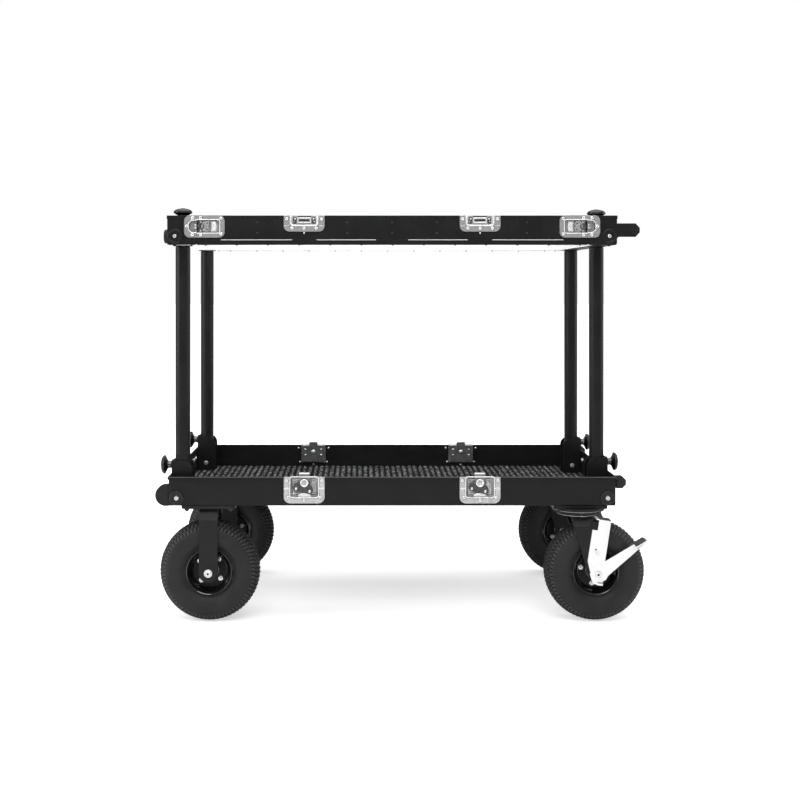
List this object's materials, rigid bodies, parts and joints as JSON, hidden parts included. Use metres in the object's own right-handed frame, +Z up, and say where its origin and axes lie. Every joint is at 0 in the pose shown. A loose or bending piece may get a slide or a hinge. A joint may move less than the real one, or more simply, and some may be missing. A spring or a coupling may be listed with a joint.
{
  "type": "camera cart",
  "caption": "Two-deck rolling camera cart: matted lower tray on pneumatic casters, folding round masts, and a clamped upper deck with a lift-off tray and a push handle.",
  "frame": {"origin": "on the floor, under the middle of the whole cart's outline", "axes": "+X to the end with the swivel casters and the push handle, +Y to the rear, +Z up"},
  "size_m": [1.2562, 0.645, 1.0627],
  "materials": {
    "black_powder_coat": "satin black powder coat, slightly pebbled",
    "black_tube": "satin black coated tube",
    "latch_zinc": "bright zinc plated pressed steel",
    "bright_zinc": "bright zinc plated steel",
    "bright_sheet": "bare bright aluminium sheet",
    "dark_steel": "dark plated steel",
    "black_rubber": "matt black moulded rubber and plastic",
    "tyre_rubber": "dark grey tyre rubber with a grooved tread",
    "loop_mat": "mottled grey and black ribbed loop mat",
    "wheel_paint": "gloss black painted pressed rim and hub"
  },
  "bodies": {
    "base": {"lower_tray": "black_powder_coat", "lower_mat": "loop_mat", "left_bumper": "black_rubber", "right_bumper": "black_rubber", "foot_bracket_front_left": "black_powder_coat", "latch_dish_front_left": "latch_zinc", "rigid_fork_front_left": "black_powder_coat", "axle_front_left": "bright_zinc", "foot_bracket_front_right": "black_powder_coat", "latch_dish_front_right": "latch_zinc", "swivel_plate_front_right": "black_powder_coat", "foot_bracket_rear_left": "black_powder_coat", "latch_dish_rear_left": "latch_zinc", "rigid_fork_rear_left": "black_powder_coat", "axle_rear_left": "bright_zinc", "foot_bracket_rear_right": "black_powder_coat", "latch_dish_rear_right": "latch_zinc", "swivel_plate_rear_right": "black_powder_coat"},
    "mast_front_left": {"mast_front_left": "black_tube"},
    "lock_knob_front_left": {"lock_knob_front_left": "black_rubber"},
    "clamp_knob_front_left": {"clamp_knob_front_left": "black_rubber"},
    "latch_wing_front_left": {"latch_wing_front_left": "dark_steel"},
    "corner_wing_front_left": {"corner_wing_front_left": "dark_steel"},
    "wheel_front_left": {"tyre_front_left": "tyre_rubber", "wheel_hub_front_left": "wheel_paint"},
    "mast_front_right": {"mast_front_right": "black_tube"},
    "lock_knob_front_right": {"lock_knob_front_right": "black_rubber"},
    "clamp_knob_front_right": {"clamp_knob_front_right": "black_rubber"},
    "latch_wing_front_right": {"latch_wing_front_right": "dark_steel"},
    "corner_wing_front_right": {"corner_wing_front_right": "dark_steel"},
    "wheel_front_right": {"tyre_front_right": "tyre_rubber", "wheel_hub_front_right": "wheel_paint"},
    "caster_front_right": {"swivel_fork_front_right": "black_powder_coat", "axle_front_right": "bright_zinc"},
    "brake_strap_front_right": {"brake_strap_front_right": "bright_zinc"},
    "brake_lever_front_right": {"brake_lever_front_right": "bright_zinc"},
    "mast_rear_left": {"mast_rear_left": "black_tube"},
    "lock_knob_rear_left": {"lock_knob_rear_left": "black_rubber"},
    "clamp_knob_rear_left": {"clamp_knob_rear_left": "black_rubber"},
    "latch_wing_rear_left": {"latch_wing_rear_left": "dark_steel"},
    "corner_wing_rear_left": {"corner_wing_rear_left": "dark_steel"},
    "wheel_rear_left": {"tyre_rear_left": "tyre_rubber", "wheel_hub_rear_left": "wheel_paint"},
    "mast_rear_right": {"mast_rear_right": "black_tube"},
    "lock_knob_rear_right": {"lock_knob_rear_right": "black_rubber"},
    "clamp_knob_rear_right": {"clamp_knob_rear_right": "black_rubber"},
    "latch_wing_rear_right": {"latch_wing_rear_right": "dark_steel"},
    "corner_wing_rear_right": {"corner_wing_rear_right": "dark_steel"},
    "wheel_rear_right": {"tyre_rear_right": "tyre_rubber", "wheel_hub_rear_right": "wheel_paint"},
    "caster_rear_right": {"swivel_fork_rear_right": "black_powder_coat", "axle_rear_right": "bright_zinc"},
    "brake_strap_rear_right": {"brake_strap_rear_right": "bright_zinc"},
    "brake_lever_rear_right": {"brake_lever_rear_right": "bright_zinc"},
    "deck": {"left_end_housing": "black_powder_coat", "right_end_housing": "black_powder_coat", "deck_platform": "bright_sheet"},
    "top_tray": {"top_tray": "black_powder_coat", "top_mat": "loop_mat"},
    "push_handle": {"push_handle": "black_powder_coat"}
  },
  "joints": [
    {"name": "mast_fold_front_left", "type": "hinge", "parent": "base", "child": "mast_front_left", "pos_m": [-0.56495, -0.236, 0.33295], "axis": [0, 1, 0], "range_deg": [0, 90]},
    {"name": "lock_pull_front_left", "type": "slide", "parent": "base", "child": "lock_knob_front_left", "axis": [-1, 0, 0], "range_m": [0, 0.01], "stiffness_N_per_m": 600, "springref_m": -0.005},
    {"name": "clamp_turn_front_left", "type": "hinge", "parent": "deck", "child": "clamp_knob_front_left", "pos_m": [-0.56495, -0.236, 1.0414], "axis": [0, 0, 1], "continuous": true},
    {"name": "latch_flip_front_left", "type": "hinge", "parent": "base", "child": "latch_wing_front_left", "pos_m": [-0.24795, -0.2873, 0.3598], "axis": [-1, 0, 0], "range_deg": [0, 90]},
    {"name": "corner_flip_front_left", "type": "hinge", "parent": "top_tray", "child": "corner_wing_front_left", "pos_m": [-0.50495, -0.2885, 1.0134], "axis": [0, 0, -1], "range_deg": [0, 90]},
    {"name": "wheel_spin_front_left", "type": "hinge", "parent": "base", "child": "wheel_front_left", "pos_m": [-0.49295, -0.238, 0.129], "axis": [0, 1, 0], "continuous": true},
    {"name": "mast_fold_front_right", "type": "hinge", "parent": "base", "child": "mast_front_right", "pos_m": [0.51705, -0.185, 0.33295], "axis": [0, -1, 0], "range_deg": [0, 90]},
    {"name": "lock_pull_front_right", "type": "slide", "parent": "base", "child": "lock_knob_front_right", "axis": [1, 0, 0], "range_m": [0, 0.01], "stiffness_N_per_m": 600, "springref_m": -0.005},
    {"name": "clamp_turn_front_right", "type": "hinge", "parent": "deck", "child": "clamp_knob_front_right", "pos_m": [0.51705, -0.185, 1.0414], "axis": [0, 0, 1], "continuous": true},
    {"name": "latch_flip_front_right", "type": "hinge", "parent": "base", "child": "latch_wing_front_right", "pos_m": [0.20005, -0.2873, 0.3598], "axis": [-1, 0, 0], "range_deg": [0, 90]},
    {"name": "corner_flip_front_right", "type": "hinge", "parent": "top_tray", "child": "corner_wing_front_right", "pos_m": [0.45705, -0.2885, 1.0134], "axis": [0, 0, 1], "range_deg": [0, 90]},
    {"name": "swivel_front_right", "type": "hinge", "parent": "base", "child": "caster_front_right", "pos_m": [0.45705, -0.238, 0.286], "axis": [0, 0, 1], "continuous": true},
    {"name": "wheel_spin_front_right", "type": "hinge", "parent": "caster_front_right", "child": "wheel_front_right", "pos_m": [0.49905, -0.238, 0.129], "axis": [0, 1, 0], "continuous": true},
    {"name": "brake_press_front_right", "type": "hinge", "parent": "caster_front_right", "child": "brake_lever_front_right", "pos_m": [0.49905, -0.238, 0.129], "axis": [0, 1, 0], "range_deg": [0, 30]},
    {"name": "brake_strap_slide_front_right", "type": "slide", "parent": "caster_front_right", "child": "brake_strap_front_right", "axis": [-0.153, 0, -0.9882], "range_m": [0, 0.0045]},
    {"name": "mast_fold_rear_left", "type": "hinge", "parent": "base", "child": "mast_rear_left", "pos_m": [-0.56495, 0.236, 0.33295], "axis": [0, 1, 0], "range_deg": [0, 90]},
    {"name": "lock_pull_rear_left", "type": "slide", "parent": "base", "child": "lock_knob_rear_left", "axis": [-1, 0, 0], "range_m": [0, 0.01], "stiffness_N_per_m": 600, "springref_m": -0.005},
    {"name": "clamp_turn_rear_left", "type": "hinge", "parent": "deck", "child": "clamp_knob_rear_left", "pos_m": [-0.56495, 0.236, 1.0414], "axis": [0, 0, 1], "continuous": true},
    {"name": "latch_flip_rear_left", "type": "hinge", "parent": "base", "child": "latch_wing_rear_left", "pos_m": [-0.24795, 0.2873, 0.3598], "axis": [1, 0, 0], "range_deg": [0, 90]},
    {"name": "corner_flip_rear_left", "type": "hinge", "parent": "top_tray", "child": "corner_wing_rear_left", "pos_m": [-0.50495, 0.2885, 1.0134], "axis": [0, 0, 1], "range_deg": [0, 90]},
    {"name": "wheel_spin_rear_left", "type": "hinge", "parent": "base", "child": "wheel_rear_left", "pos_m": [-0.49295, 0.238, 0.129], "axis": [0, 1, 0], "continuous": true},
    {"name": "mast_fold_rear_right", "type": "hinge", "parent": "base", "child": "mast_rear_right", "pos_m": [0.51705, 0.185, 0.33295], "axis": [0, -1, 0], "range_deg": [0, 90]},
    {"name": "lock_pull_rear_right", "type": "slide", "parent": "base", "child": "lock_knob_rear_right", "axis": [1, 0, 0], "range_m": [0, 0.01], "stiffness_N_per_m": 600, "springref_m": -0.005},
    {"name": "clamp_turn_rear_right", "type": "hinge", "parent": "deck", "child": "clamp_knob_rear_right", "pos_m": [0.51705, 0.185, 1.0414], "axis": [0, 0, 1], "continuous": true},
    {"name": "latch_flip_rear_right", "type": "hinge", "parent": "base", "child": "latch_wing_rear_right", "pos_m": [0.20005, 0.2873, 0.3598], "axis": [1, 0, 0], "range_deg": [0, 90]},
    {"name": "corner_flip_rear_right", "type": "hinge", "parent": "top_tray", "child": "corner_wing_rear_right", "pos_m": [0.45705, 0.2885, 1.0134], "axis": [0, 0, -1], "range_deg": [0, 90]},
    {"name": "swivel_rear_right", "type": "hinge", "parent": "base", "child": "caster_rear_right", "pos_m": [0.45705, 0.238, 0.286], "axis": [0, 0, 1], "continuous": true},
    {"name": "wheel_spin_rear_right", "type": "hinge", "parent": "caster_rear_right", "child": "wheel_rear_right", "pos_m": [0.49905, 0.238, 0.129], "axis": [0, 1, 0], "continuous": true},
    {"name": "brake_press_rear_right", "type": "hinge", "parent": "caster_rear_right", "child": "brake_lever_rear_right", "pos_m": [0.49905, 0.238, 0.129], "axis": [0, 1, 0], "range_deg": [0, 30]},
    {"name": "brake_strap_slide_rear_right", "type": "slide", "parent": "caster_rear_right", "child": "brake_strap_rear_right", "axis": [-0.153, 0, -0.9882], "range_m": [0, 0.0045]},
    {"name": "deck_lift", "type": "slide", "parent": "base", "child": "deck", "axis": [0, 0, 1], "range_m": [0, 0.15]},
    {"name": "tray_lift", "type": "slide", "parent": "deck", "child": "top_tray", "axis": [0, 0, 1], "range_m": [0, 0.12]},
    {"name": "handle_fold", "type": "hinge", "parent": "deck", "child": "push_handle", "pos_m": [0.53075, 0, 0.9887], "axis": [0, 1, 0], "range_deg": [0, 85]}
  ],
  "couplings": [
    {"joint": "brake_strap_slide_front_right", "follows": "brake_press_front_right", "m_per_rad": 0.00859},
    {"joint": "brake_strap_slide_rear_right", "follows": "brake_press_rear_right", "m_per_rad": 0.00859}
  ]
}
